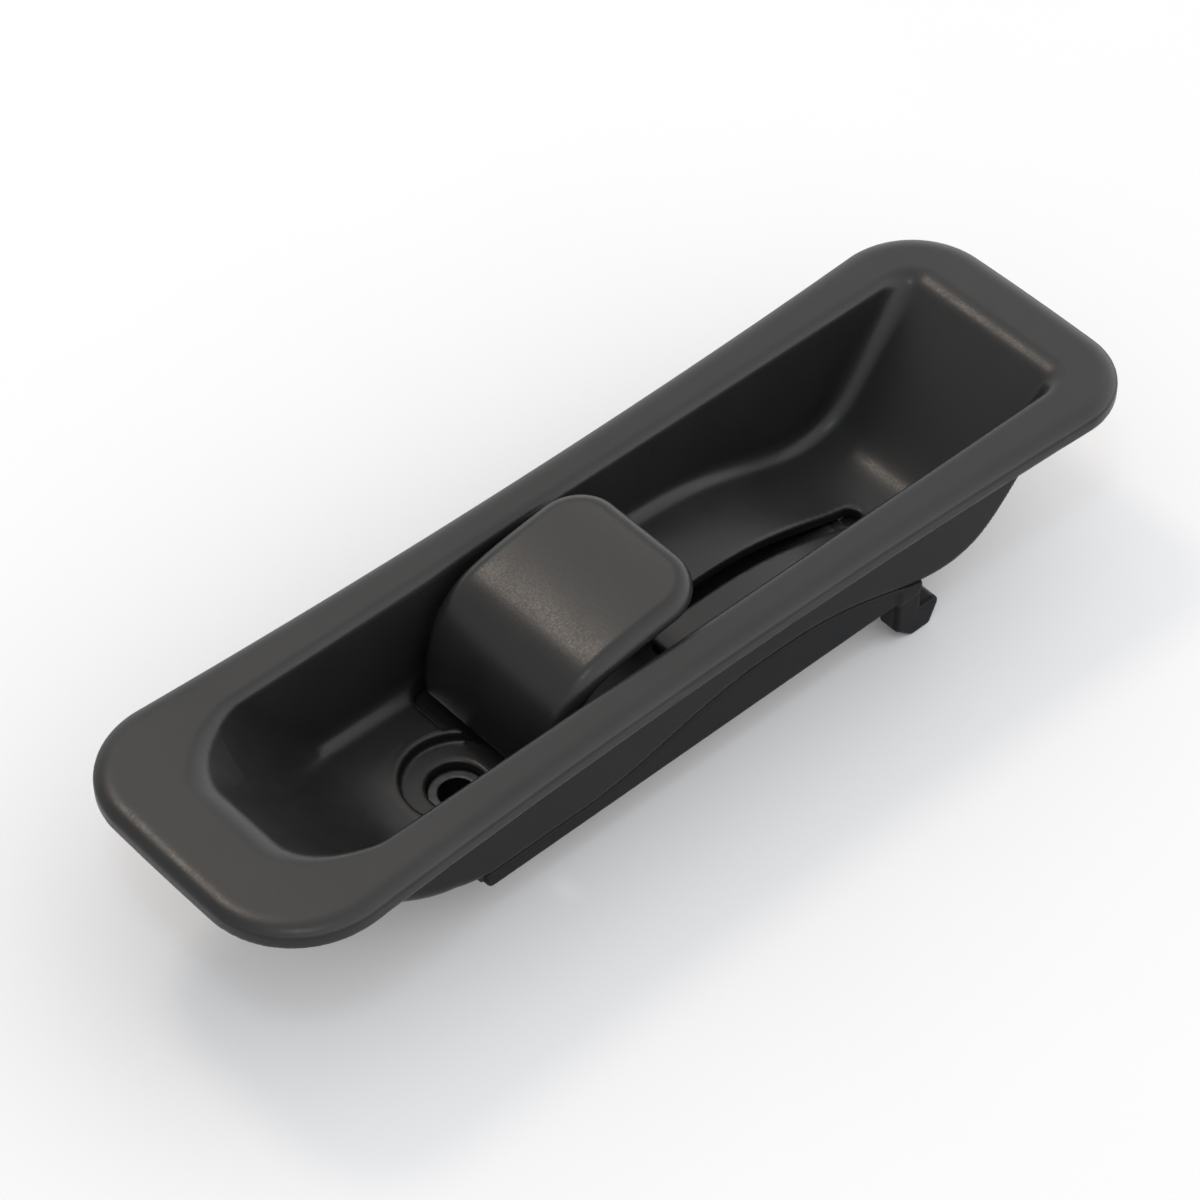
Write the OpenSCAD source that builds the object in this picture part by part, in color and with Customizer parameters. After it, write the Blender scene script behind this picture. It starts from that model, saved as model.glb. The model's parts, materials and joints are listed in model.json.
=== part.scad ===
// Recessed inside release handle of a car door.
// A moulded bezel and tub, a mechanism frame with snap hooks screwed under it, and a
// two-finger paddle that turns on a steel pin against a torsion spring and pulls a cable.
// X runs along the handle, Y across it and Z out towards the hand.
// The part stands on its hooks and its screw boss, with Z = 0 at their tips.

/* [Bezel] */
// Length of the flange
flange_len = 190; // [186:1:194]
// Width of the flange at its ends, before its sides are drawn in
flange_w = 58.2; // [57.6:0.2:58.8]
// How far each long side is drawn in at mid length
waist = 2.8; // [2.4:0.1:3]
// How far the flange's ends bow out
end_bow = 0.7; // [0.4:0.1:1.2]
// Radius of the flange's two far corners
corner_r = 16; // [15:0.5:17]
// Radius of its near corner beside the screw
near_left_r = 18; // [17:0.5:19]
// Radius of its near corner beside the finger well
near_right_r = 14; // [13:0.5:16]
// Thickness of the flange
flange_t = 2.6; // [2.2:0.1:3]
// How far the flange's edge turns down
lip_drop = 4; // [3.6:0.1:4.6]
// Thickness of the turned-down edge
lip_t = 1.8; // [1.4:0.1:2.2]
// Height of the flange's face above the tips of the hooks
drop = 37.5; // [37.5:0.5:40]

/* [Tub] */
// Inside width of the tub
tub_w = 36.8; // [36.4:0.1:37.2]
// Thickness of the tub's side walls
wall = 1.8; // [1.6:0.1:2]
// Thickness of the tub's floor
floor_t = 2.3; // [2:0.1:2.4]
// Depth of the floor beside the screw
floor_l = 21.5; // [21:0.1:21.8]
// Depth of the raised floor beside the paddle
floor_m = 15.4; // [15:0.1:15.8]
// Depth of the finger well
floor_r = 23.5; // [23:0.1:23.8]
// Width of the slot along the floor
slot_w = 3.7; // [3:0.1:4]

/* [Fixing] */
// Radius of the screw recess
recess_r = 9.4; // [9.2:0.1:9.5]
// Radius of the counterbore under the recess
head_r = 5.1; // [5:0.1:5.6]
// Radius of the screw's bore through the sleeve
screw_r = 3.1; // [2.6:0.1:3.2]

/* [Paddle] */
// Width of the paddle
paddle_w = 32.5; // [31:0.5:33]
// Thickness of the paddle's cover
cover_t = 2.4; // [2:0.1:2.6]
// Radius of the corners at the paddle's free edge
paddle_r = 8.5; // [6:0.5:10]
// Radius of the pivot pin
pin_r = 2; // [1.8:0.1:2]
// Radius of the torsion spring's wire
wire_r = 0.6; // [0.5:0.05:0.6]
// Turns of the torsion spring
turns = 5; // [4:1:5]

/* [Hidden] */
$fn = 64;

eps = 0.01;
tub_hw = tub_w / 2;
outer_hw = tub_hw + wall;
pivot = [-24, -17.5];
barrel = [-22, -33];
barrel_y = 8;
screw_at = [-39.1, -2.4];
tub_ends = [-80.5, 83.5];
window = [-34, 1];
window_hw = 17;
slot_y = -2.35;
slot_end = 52;
recess_floor = -floor_l - 2.2;
seat_z = recess_floor - 2.5;
step_x = -31.9;
skirt_z = -27;
skirt_x = [-48, 49.5];
bridge_z = [-26.4, -24.4];
screw_spots = [[12, 11], [12, -11], [39, 9]];
hub_r = 4.2;
hub_y = [5, 14];
bush_r = 3;
fit = 0.05;
pin_ends = [-19.3, 20.3];
boss_face = 15.95;
arm_y = [4.8, 6.8];
arm_end_r = 4;
fork_gap = [4.2, 11.8];
barrel_r = 2.5;
coil_r = 4.1;
coil_pitch = 1.55;
anchor_x = [-53, -48];
cable_hole_r = 1.2;
wire_slot_r = 2;
stop_y = [9.6, 12];
anchor_screw_at = [2.4, -30];
cover_spots = [[-14, -2.9], [-5, -1.5]];

plastic = [0.16, 0.16, 0.165];
plastic_dark = [0.11, 0.11, 0.115];
steel = [0.7, 0.7, 0.72];
steel_dark = [0.3, 0.3, 0.31];
rubber = [0.06, 0.06, 0.06];

function reverse(c) = [for (i = [len(c) - 1:-1:0]) c[i]];
function rest(c) = [for (i = [1:len(c) - 1]) c[i]];
function bezier(p, n) = [for (i = [0:n])
    let (t = i / n, s = 1 - t)
    s * s * s * p[0] + 3 * s * s * t * p[1] + 3 * s * t * t * p[2] + t * t * t * p[3]];
function normal_at(c, i) =
    let (d = c[min(i + 1, len(c) - 1)] - c[max(i - 1, 0)])
    [-d[1], d[0]] / norm(d);
function shifted(c, by) = [for (i = [0:len(c) - 1]) c[i] + by * normal_at(c, i)];

// The tub's inner face, seen from the side and read from left to right.
tub_curve = concat(
    bezier([[tub_ends[0], 0], [-75, -5], [-62, -floor_l], [-50, -floor_l]], 12),
    bezier([[-27, -floor_l], [-14, -floor_l], [-3, -floor_m], [13, -floor_m]], 8),
    bezier([[16, -floor_m], [37, -floor_m], [45, -floor_r], [56, -floor_r]], 8),
    rest(bezier([[56, -floor_r], [65, -floor_r], [66, -18.5], [tub_ends[1], 0]], 12)));
tub_outside = shifted(tub_curve, -floor_t);

// The paddle's outer face, from the foot of its round back to its free edge.
skin = concat(
    bezier([[-31.4, -20.8], [-31.4, -10.2], [-28.6, -1.6], [-20, 1]], 12),
    rest(bezier([[-20, 1], [-12.4, 3.3], [-3.2, 3.6], [4.6, 5.4]], 8)));
lining = shifted(skin, -cover_t - 0.05);
backing = shifted(skin, -cover_t - 1.85);
backing_core = shifted(skin, -cover_t - 0.9);

// Moves a shape drawn from the flange's face down to its place on the standing plane.
module from_face() {
    translate([0, 0, drop]) children();
}

// Extrudes an outline drawn in X and Z between two values of Y.
module across(y0, y1) {
    translate([0, y1, 0]) rotate([90, 0, 0]) linear_extrude(height = y1 - y0) children();
}

// A round bar along Y at a point given in X and Z.
module bar(at, r, y0, y1) {
    translate([at[0], y1, at[1]]) rotate([90, 0, 0]) cylinder(r = r, h = y1 - y0);
}

// A bar on the pivot's line, between two distances from the middle, on one side of it.
module side_bar(side, r, from, to) {
    bar(pivot, r, min(side * from, side * to), max(side * from, side * to));
}

module block(x, y, z) {
    translate([x[0], y[0], z[0]]) cube([x[1] - x[0], y[1] - y[0], z[1] - z[0]]);
}

module round_rect(x, y, r) {
    translate([x[0] + r, y[0]]) square([x[1] - x[0] - 2 * r, y[1] - y[0]]);
    translate([x[0], y[0] + r]) square([x[1] - x[0], y[1] - y[0] - 2 * r]);
    for (cx = [x[0] + r, x[1] - r], cy = [y[0] + r, y[1] - r]) translate([cx, cy]) circle(r = r);
}

// The flange's outline, moved in by an inset: drawn-in sides, bowed ends, round corners.
function flange_quarter(inset, corner) =
    let (hl = flange_len / 2 - inset, hw = flange_w / 2 - inset, r = corner - inset,
        cy = hw - waist * (1 - pow(1 - r / hl, 2)) - r,
        cx = hl - end_bow * pow(cy / hw, 2) - r)
    concat(
        [for (i = [0:3]) let (y = cy * i / 4) [hl - end_bow * pow(y / hw, 2), y]],
        [for (a = [0:7.5:90]) [cx + r * cos(a), cy + r * sin(a)]],
        [for (i = [7:-1:1]) let (x = cx * i / 8) [x, hw - waist * (1 - pow(x / hl, 2))]],
        [[0, hw - waist]]);
function flipped(c, fx, fy) = [for (p = c) [p[0] * fx, p[1] * fy]];

module flange_outline(inset) {
    far = flange_quarter(inset, corner_r);
    near_left = flange_quarter(inset, near_left_r);
    near_right = flange_quarter(inset, near_right_r);
    outline = concat(far, rest(reverse(flipped(far, -1, 1))), rest(flipped(near_left, -1, -1)),
        rest(reverse(flipped(near_right, 1, -1))));
    polygon(rest(outline));
}

module slab(z0, z1) {
    translate([0, 0, z0]) linear_extrude(height = z1 - z0) children();
}

module flange() {
    slab(-flange_t, 0) flange_outline(0);
    slab(-lip_drop, -flange_t) difference() {
        flange_outline(0);
        flange_outline(lip_t);
    }
}

module tub_solid() {
    intersection() {
        across(-outer_hw, outer_hw) polygon(concat(tub_outside, [[90, 0], [-88, 0]]));
        slab(-40, -eps) round_rect([-86, 88.5], [-outer_hw, outer_hw], 9.8);
    }
}

module tub_hollow() {
    intersection() {
        across(-tub_hw, tub_hw) polygon(concat([[tub_ends[0], 3]], tub_curve, [[tub_ends[1], 3]]));
        slab(-40, 3) round_rect([tub_ends[0] - 2, tub_ends[1] + 2], [-tub_hw, tub_hw], 8);
    }
}

module floor_openings() {
    slab(-40, -12) round_rect(window, [-window_hw, window_hw], 4);
    slab(-40, -12) translate([window[0] + 20, slot_y - slot_w / 2])
        square([slot_end - slot_w / 2 - window[0] - 20, slot_w]);
    translate([slot_end - slot_w / 2, slot_y, -40]) cylinder(r = slot_w / 2, h = 28);
}

// The stepped recess for the fixing screw, and the column under it.
module screw_boss() {
    difference() {
        union() {
            translate([screw_at[0], screw_at[1], seat_z - 2.4])
                cylinder(r = recess_r + 0.2, h = recess_floor - seat_z + 2.4);
            intersection() {
                translate([screw_at[0], screw_at[1], seat_z])
                    cylinder(r = recess_r + 1, h = -floor_l - seat_z);
                block([-60, step_x], [-17, 17], [-30, -10]);
            }
            translate([screw_at[0], screw_at[1], -drop]) cylinder(r = 6.8, h = drop + seat_z);
        }
        translate([screw_at[0], screw_at[1], recess_floor]) cylinder(r = recess_r, h = 10);
        translate([screw_at[0], screw_at[1], seat_z]) cylinder(r = head_r, h = 10);
        translate([screw_at[0], screw_at[1], -drop - 1]) cylinder(r = 4, h = drop);
    }
}

module bezel_tub() {
    color(plastic) from_face() {
        difference() {
            union() {
                flange();
                tub_solid();
                for (s = screw_spots) translate([s[0], s[1], bridge_z[1]]) cylinder(r = 3.4, h = 8);
            }
            tub_hollow();
            floor_openings();
            translate([screw_at[0], screw_at[1], -30]) cylinder(r = recess_r + 0.1, h = 20);
            bar(pivot, pin_r + 0.02, pin_ends[0], 30);
            for (s = screw_spots) translate([s[0], s[1], bridge_z[1] - 1]) cylinder(r = 1.1, h = 5.6);
        }
        difference() {
            for (side = [-1, 1]) side_bar(side, 4, boss_face, tub_hw + eps);
            bar(pivot, pin_r + 0.02, pin_ends[0], 30);
        }
        screw_boss();
    }
}

module trim_gasket() {
    color("dimgray") from_face() slab(-flange_t - 1.6, -flange_t) difference() {
        flange_outline(lip_t + 0.8);
        round_rect([-87, 89], [-outer_hw - 0.3, outer_hw + 0.3], 9.8);
    }
}

module fixing_sleeve() {
    color(steel_dark) from_face() difference() {
        union() {
            translate([screw_at[0], screw_at[1], -drop]) cylinder(r = 3.98, h = drop + seat_z);
            translate([screw_at[0], screw_at[1], seat_z]) cylinder(r = head_r - 0.1, h = 0.8);
        }
        translate([screw_at[0], screw_at[1], -drop - 1]) cylinder(r = screw_r, h = drop);
    }
}

// A hole along X on the line of the cable or of the anchor's screw.
module hole_along(x, at, r) {
    translate([x[0], at[0], at[1]]) rotate([0, 90, 0]) cylinder(r = r, h = x[1] - x[0]);
}

// One side of the frame, closed against the underside of the tub, with its snap hook:
// a neck, a catch that faces up, and a pointed tip to lead it in.
module frame_side(skirt_y, hook_y) {
    difference() {
        union() {
            across(skirt_y[0], skirt_y[1]) polygon([[skirt_x[0] + 2, skirt_z], [skirt_x[1], skirt_z],
                [skirt_x[1], -14], [skirt_x[0], -14], [skirt_x[0], skirt_z + 2]]);
            across(hook_y[0], hook_y[1]) polygon([[44.3, -24], [44.3, -33.6], [45.2, -35.4],
                [47.2, -36.9], [49.4, -drop], [51.6, -drop], [52.6, -36.6], [54.2, -33.2],
                [54.2, -31.9], [49.8, -31.9], [49.8, -24]]);
        }
        across(-30, 30) polygon(concat(tub_outside, [[90, 0], [-88, 0]]));
    }
}

module side_frame() {
    color(plastic_dark) from_face() difference() {
        union() {
            frame_side([-outer_hw, -tub_hw], [-outer_hw, -15.7]);
            frame_side([tub_hw, outer_hw], [15.7, outer_hw]);
            block([skirt_x[0], skirt_x[0] + 2.5], [-tub_hw, tub_hw], [skirt_z, -24]);
            block([skirt_x[0], skirt_x[0] + 2.5], [1, 15], [-drop + 1, skirt_z]);
            block([8, 47], [-tub_hw, tub_hw], bridge_z);
            block([46, skirt_x[1]], [-tub_hw, tub_hw], [skirt_z, -25.2]);
            block([-32, 8 + eps], [-tub_hw, tub_hw], [skirt_z, -25]);
            block([pivot[0] - 0.38, pivot[0] + 2.6], [1.8, fork_gap[0] + eps], [skirt_z, -23.2]);
            block([-30, -27.7], [stop_y[0], tub_hw], [-35.4, -25.3]);
            block([46, slot_end + 1], [slot_y - 3, slot_y + 3], [skirt_z, -26]);
            block([-8.8, -6.2], [4.4, tub_hw], [-33, -23]);
        }
        block([-27.7, -8.8], [fork_gap[0], fork_gap[1]], [-30, -20]);
        for (s = screw_spots) translate([s[0], s[1], -30]) cylinder(r = 1.7, h = 8);
        translate([screw_at[0], screw_at[1], -29]) cylinder(r = recess_r + 1.2, h = 10);
        hole_along([skirt_x[0] - 1, skirt_x[0] + 4], [barrel_y, barrel[1]], wire_slot_r);
        block([skirt_x[0] - 1, skirt_x[0] + 4], [barrel_y - wire_slot_r, barrel_y + wire_slot_r],
            [-drop, barrel[1]]);
        hole_along([skirt_x[0] - 1, skirt_x[0] + 4], anchor_screw_at, 0.9);
    }
}

// A pan-head self-tapping screw with its head down.
module tapping_screw(r, head, len) {
    cylinder(r = r, h = len);
    translate([0, 0, -1.6]) cylinder(r = head, h = 1.6);
    translate([0, 0, len]) cylinder(r1 = r, r2 = 0.3, h = 1, $fn = 32);
}

module frame_screws() {
    color(steel) from_face() for (s = screw_spots) translate([s[0], s[1], bridge_z[0]])
        tapping_screw(1.05, 2.9, 5);
}

module rattle_pads() {
    color(rubber) from_face() for (x = [-20, 30])
        block([x - 9, x + 9], [outer_hw, outer_hw + 2.5], [-25.5, -22]);
}

module cable_anchor() {
    color(plastic_dark) from_face() difference() {
        union() {
            block(anchor_x, [0.5, 13.5], [-drop, -28.8]);
            hole_along([anchor_x[0] - 1.5, anchor_x[0] + eps], [barrel_y, barrel[1]], 4.2);
        }
        hole_along([anchor_x[0] - 2, anchor_x[0] + 3.5], [barrel_y, barrel[1]], 2.6);
        hole_along([anchor_x[0] - 2, anchor_x[1] + 1], [barrel_y, barrel[1]], cable_hole_r);
        hole_along([anchor_x[0] - 2, anchor_x[1] + 1], anchor_screw_at, 1.3);
    }
}

module anchor_screw() {
    color(steel) from_face() {
        hole_along([anchor_x[0], anchor_x[0] + 7.2], anchor_screw_at, 0.88);
        hole_along([anchor_x[0] - 1.2, anchor_x[0]], anchor_screw_at, 1.8);
    }
}

module closed_stop_pad() {
    color(rubber) from_face() block([-27.7, -26.1], stop_y, [-35.2, -30.8]);
}

module open_stop_pad() {
    color(rubber) from_face() block([-10.4, -8.8], [4.8, 11.2], [-32.2, -27.6]);
}

module pivot_pin() {
    color(steel) from_face() difference() {
        union() {
            bar(pivot, pin_r, pin_ends[0] + 0.1, pin_ends[1]);
            bar(pivot, pin_r + 1.2, pin_ends[1], pin_ends[1] + 1.2);
        }
        difference() {
            bar(pivot, 5, 15.15, 15.75);
            bar(pivot, pin_r - 0.5, 15, 16);
        }
    }
}

module pin_clip() {
    color(steel) from_face() difference() {
        bar(pivot, 3.9, 15.2, 15.7);
        bar(pivot, pin_r - 0.48, 15, 16);
        block([pivot[0] - pin_r * 0.62, pivot[0] + pin_r * 0.62], [15, 16], [pivot[1] - 6, pivot[1]]);
    }
}

module paddle_cover() {
    color(plastic) from_face() difference() {
        intersection() {
            across(-paddle_w / 2, paddle_w / 2) polygon(concat(skin, reverse(shifted(skin, -cover_t))));
            slab(-24, 10) round_rect([-45, 4.6], [-paddle_w / 2, paddle_w / 2], paddle_r);
        }
        for (s = cover_spots) translate([s[0], 0, s[1]]) cylinder(r = 1.05, h = 4.3);
    }
}

// The lever inside the paddle: backing plate, cheeks, hubs and the fork for the cable.
module paddle_lever() {
    cheek = concat([for (i = [1:16]) backing_core[i]],
        [[-12, -5], [-18.5, -13], [-20, -18], [-24, -21.4], [-27.6, -20]]);
    color(plastic_dark) from_face() difference() {
        union() {
            intersection() {
                across(-12.8, 12.8) polygon(concat(lining, reverse(backing)));
                slab(-24, 10) round_rect([-45, 1.8], [-12.8, 12.8], 6);
            }
            for (side = [-1, 1]) {
                across(side * 9.5 - 1, side * 9.5 + 1) polygon(cheek);
                side_bar(side, hub_r, hub_y[0], hub_y[1]);
            }
            for (y = [arm_y[0], 2 * barrel_y - arm_y[1]]) {
                across(y, y + 2) polygon([pivot + [-3.4, 0], barrel + [-3.2, 1.5], barrel + [3.2, 1.5],
                    pivot + [3.9, 0]]);
                bar(barrel, arm_end_r, y, y + 2);
            }
            across(-4.6, 4.6) polygon([[-23.3, -11.4], [-21.3, -11.4], backing_core[12],
                backing_core[10], [-22.1, -9.8]]);
            for (s = cover_spots) translate([s[0], 0, s[1]]) cylinder(r = 2.4, h = 2.4);
        }
        bar(pivot, bush_r, -30, 30);
        bar(barrel, barrel_r + fit, -30, 30);
        bar(pivot, 6, -hub_y[0], hub_y[0]);
        for (s = cover_spots) translate([s[0], 0, s[1] - 4]) cylinder(r = 1.05, h = 10);
    }
}

module cover_screws() {
    color(steel) from_face() for (s = cover_spots) translate([s[0], 0, s[1]]) {
        cylinder(r = 1, h = 4);
        translate([0, 0, -1.4]) cylinder(r = 2.3, h = 1.4);
    }
}

module bush(side) {
    color("ivory") from_face() difference() {
        union() {
            side_bar(side, bush_r, hub_y[0] + 0.8, hub_y[1]);
            side_bar(side, hub_r - 0.3, hub_y[1], hub_y[1] + 0.9);
        }
        bar(pivot, pin_r + fit, -30, 30);
    }
}

module bush_near() {
    bush(-1);
}

module bush_far() {
    bush(1);
}

module spring_sleeve() {
    color("ivory") from_face() difference() {
        bar(pivot, 3.3, -hub_y[0] + 0.1, hub_y[0] - 0.1);
        bar(pivot, pin_r + 0.1, -30, 30);
    }
}

// A round wire swept along a path, as rings of eight points.
module swept_wire(path, r) {
    sides = 8;
    n = len(path);
    rings = [for (i = [0:n - 1])
        let (d = path[min(i + 1, n - 1)] - path[max(i - 1, 0)],
            w = d / norm(d),
            u = cross(w, [0, 1, 0]) / norm(cross(w, [0, 1, 0])),
            v = cross(w, u))
        for (k = [0:sides - 1]) path[i] + r * (cos(k * 360 / sides) * u + sin(k * 360 / sides) * v)];
    faces = concat(
        [[for (k = [sides - 1:-1:0]) k]],
        [[for (k = [0:sides - 1]) (n - 1) * sides + k]],
        [for (i = [0:n - 2], k = [0:sides - 1])
            [i * sides + k, i * sides + (k + 1) % sides, (i + 1) * sides + (k + 1) % sides,
                (i + 1) * sides + k]]);
    polyhedron(points = rings, faces = faces);
}

// A torsion spring: one leg up against the lever's rib, one down against the frame.
module return_spring() {
    start = 140;
    sweep = turns * 360 + 68;
    steps = turns * 18;
    reach = 7;
    foot = 5.6;
    coil = [for (i = [0:steps])
        let (a = start + sweep * i / steps, y = coil_pitch * turns * (i / steps - 0.5))
        [pivot[0] + coil_r * cos(a), y, pivot[1] + coil_r * sin(a)]];
    last = start + sweep;
    leg_up = [for (s = [reach:-1.5:1.5]) coil[0] + s * [sin(start), 0, -cos(start)]];
    leg_down = [for (s = [1.4:1.4:foot]) coil[steps] + s * [-sin(last), 0, cos(last)]];
    color(steel) from_face() swept_wire(concat(leg_up, coil, leg_down), wire_r);
}

// The cable's barrel nipple, held across the lever's fork.
module cable_barrel() {
    color(steel) from_face() difference() {
        bar(barrel, barrel_r, arm_y[0], 2 * barrel_y - arm_y[0]);
        translate([barrel[0] - 5, barrel_y, barrel[1]]) rotate([0, 90, 0]) cylinder(r = 0.8, h = 10);
    }
}

bezel_tub();
trim_gasket();
fixing_sleeve();
side_frame();
frame_screws();
rattle_pads();
cable_anchor();
anchor_screw();
closed_stop_pad();
open_stop_pad();
pivot_pin();
pin_clip();
paddle_cover();
paddle_lever();
cover_screws();
bush_near();
bush_far();
spring_sleeve();
return_spring();
cable_barrel();
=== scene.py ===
"""The looks of a recessed inside door handle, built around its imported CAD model.

Each moulded or turned piece is a smooth closed shape, written as a signed distance in
millimetres. A shape's z is measured from the flange's face, which is z = 0, and the
piece is placed in the frame's metres when its mesh is made.
"""
import itertools
import json
import math

import bpy
import numpy as np
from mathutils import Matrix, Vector


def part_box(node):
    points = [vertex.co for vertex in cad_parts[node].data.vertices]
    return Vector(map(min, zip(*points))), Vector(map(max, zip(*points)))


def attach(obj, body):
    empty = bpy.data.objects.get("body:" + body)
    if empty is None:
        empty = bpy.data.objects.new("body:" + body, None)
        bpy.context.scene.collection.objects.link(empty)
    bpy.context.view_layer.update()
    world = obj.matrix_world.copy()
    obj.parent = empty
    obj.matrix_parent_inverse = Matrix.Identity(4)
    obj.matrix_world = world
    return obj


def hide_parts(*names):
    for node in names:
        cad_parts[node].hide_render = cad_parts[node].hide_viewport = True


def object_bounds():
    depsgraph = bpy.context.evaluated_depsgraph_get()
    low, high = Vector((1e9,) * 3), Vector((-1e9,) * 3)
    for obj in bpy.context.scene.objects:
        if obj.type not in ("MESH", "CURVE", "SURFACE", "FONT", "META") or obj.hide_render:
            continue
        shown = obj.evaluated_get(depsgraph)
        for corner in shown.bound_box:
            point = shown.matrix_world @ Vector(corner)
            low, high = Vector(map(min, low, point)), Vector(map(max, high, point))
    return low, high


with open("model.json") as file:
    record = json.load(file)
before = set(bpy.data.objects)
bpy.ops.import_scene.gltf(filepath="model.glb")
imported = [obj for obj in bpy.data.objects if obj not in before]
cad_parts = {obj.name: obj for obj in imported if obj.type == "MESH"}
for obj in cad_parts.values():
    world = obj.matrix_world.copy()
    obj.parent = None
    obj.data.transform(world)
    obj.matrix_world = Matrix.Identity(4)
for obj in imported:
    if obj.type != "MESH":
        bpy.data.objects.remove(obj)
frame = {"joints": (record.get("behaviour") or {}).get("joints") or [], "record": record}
cad_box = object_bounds()

# ---------------------------------------------------------------- places from the frame

MM = 0.001
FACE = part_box("bezel_tub")[1].z / MM
JOINTS = {joint["name"]: joint for joint in frame["joints"]}
MOUNTS = {mount["name"]: mount for mount in frame["record"]["mounts"]}


def in_face_frame(point):
    """A point of the frame in millimetres, with its height measured from the flange's face."""
    return point[0] / MM, point[1] / MM, point[2] / MM - FACE


def span(node, axis):
    """The lowest and highest value of a CAD node along an axis, in the face's frame."""
    low, high = (in_face_frame(corner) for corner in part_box(node))
    return low[axis], high[axis]


def side_view(point):
    x, _, z = in_face_frame(point)
    return x, z


PIVOT = side_view(JOINTS["paddle_pull"]["pos_m"])
BARREL = side_view(JOINTS["barrel_turn"]["pos_m"])
BARREL_Y = JOINTS["barrel_turn"]["pos_m"][1] / MM
SCREW = in_face_frame(MOUNTS["fixing_bore"]["pos_m"])[:2]
SCREW_BORE = MOUNTS["fixing_bore"]["dims"]["r_mm"]
STAND = -FACE

# ---------------------------------------------------------------- sizes in millimetres

FLANGE_HALF_LENGTH = span("bezel_tub", 0)[1]
FLANGE_HALF_WIDTH = 29.1
WAIST = 2.8
END_BOW = 0.7
FAR_CORNER, NEAR_LEFT_CORNER, NEAR_RIGHT_CORNER = 16, 18, 14
FLANGE_T = 2.6
LIP_DROP = 4
LIP_T = 1.8
CROWN_W, CROWN_H = 3.2, 1.6
RIM_ROUND = 1.8
TUB_HALF = 18.4
TUB_DRAFT = 0.06
OUTER_HALF = 20.2
FLOOR_T = 2.3
FLOOR_LEFT, FLOOR_HUMP, FLOOR_RIGHT = -21.5, -15.4, -23.5
FLOOR_FILLET, LEFT_CORNER, RIGHT_CORNER = 3, 12, 3.8
WINDOW_X, WINDOW_HALF = (-34, 1), 17
SLOT_Y, SLOT_HALF, SLOT_END = -2.35, 1.85, 52
RECESS_R, RECESS_Z = 9.4, FLOOR_LEFT - 2.2
SEAT_R, SEAT_Z = 5.1, FLOOR_LEFT - 4.7
COLUMN_R, COLUMN_BORE = 6.8, 4
BOSS_END = -31.9
PADDLE_HALF, PADDLE_END, PADDLE_FOOT = 16.25, 4.6, -20.8
COVER_T, COVER_RIM, COVER_ROUND = 2.4, 3.2, 3
SKIRT_X, SKIRT_Z = (-48, 49.5), -27
BRIDGE_Z = (-26.4, -24.4)
FRAME_SCREWS = [(12, 11), (12, -11), (39, 9)]
COVER_SCREWS = [(-14, -2.9), (-5, -1.5)]
ANCHOR_SCREW = (2.4, -30)
WIRE_SLOT = 2
STOP_Y = (9.6, 12)
FORK_GAP = (4.2, 11.8)
HUB_Y = (5, 14)
ARM_Y = (4.8, 6.8, 9.2, 11.2)
PIN_R, BUSH_R, HUB_R, BARREL_R, ARM_END_R = 2, 3, 4.2, 2.5, 4
BOSS_R, BOSS_FACE = 4, 15.95
CLIP_Y = (15.2, 15.7)
PILOT_R = 1.1
FIT = 0.05


# ---------------------------------------------------------------- distances

def rounded_max(a, b, r):
    """Where two shapes overlap, with the edge between them rounded to a radius."""
    corner = np.hypot(np.maximum(a + r, 0), np.maximum(b + r, 0))
    return np.minimum(np.maximum(a, b), -r) + corner


def rounded_min(a, b, r):
    """Two shapes joined, with a fillet of a radius between them."""
    return -rounded_max(-a, -b, r)


def cut(shape, tool, r=0.3):
    return rounded_max(shape, -tool, r)


def slab(c, ends):
    return abs(c - (ends[0] + ends[1]) / 2) - (ends[1] - ends[0]) / 2


def block(p, x, y, z, r=0.3):
    return rounded_max(rounded_max(slab(p[0], x), slab(p[1], y), r), slab(p[2], z), r)


def bar(p, axis, at, radius, ends, r=0.2):
    """A round bar along an axis, at a place given by its other two coordinates."""
    u, v = (p[i] for i in range(3) if i != axis)
    return rounded_max(np.hypot(u - at[0], v - at[1]) - radius, slab(p[axis], ends), r)


def polygon(u, v, points):
    """Signed distance from a closed outline of straight lines, negative inside."""
    nearest, inside = np.inf, False
    for (ax, ay), (bx, by) in zip(points, points[1:] + points[:1]):
        ex, ey = bx - ax, by - ay
        du, dv = u - ax, v - ay
        t = np.clip((du * ex + dv * ey) / (ex * ex + ey * ey), 0, 1)
        nearest = np.minimum(nearest, (du - t * ex) ** 2 + (dv - t * ey) ** 2)
        passes = ((ay <= v) != (by <= v)) & (u < ax + dv * ex / (ey or 1))
        inside = inside ^ passes
    return np.sqrt(nearest) * np.where(inside, -1, 1)


def soft_polygon(u, v, points, r):
    """An anticlockwise outline whose outer corners are rounded to a radius."""
    inner = []
    for before, here, after in zip(points[-1:] + points, points, points[1:] + points[:1]):
        d0 = np.subtract(here, before) / np.linalg.norm(np.subtract(here, before))
        d1 = np.subtract(after, here) / np.linalg.norm(np.subtract(after, here))
        n0, n1 = np.array([-d0[1], d0[0]]), np.array([-d1[1], d1[0]])
        inner.append(tuple(here + (n0 + n1) * r / (1 + n0 @ n1)))
    return polygon(u, v, inner) - r


def rounded_rect(x, y, x_ends, half, r):
    return rounded_max(slab(x, x_ends), abs(y) - half, r)


def bezier(points, count):
    t = np.linspace(0, 1, count + 1)[:, None]
    a, b, c, d = np.array(points, float)
    return (1 - t) ** 3 * a + 3 * t * (1 - t) ** 2 * b + 3 * t * t * (1 - t) * c + t ** 3 * d


# ---------------------------------------------------------------- bezel and tub

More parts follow.
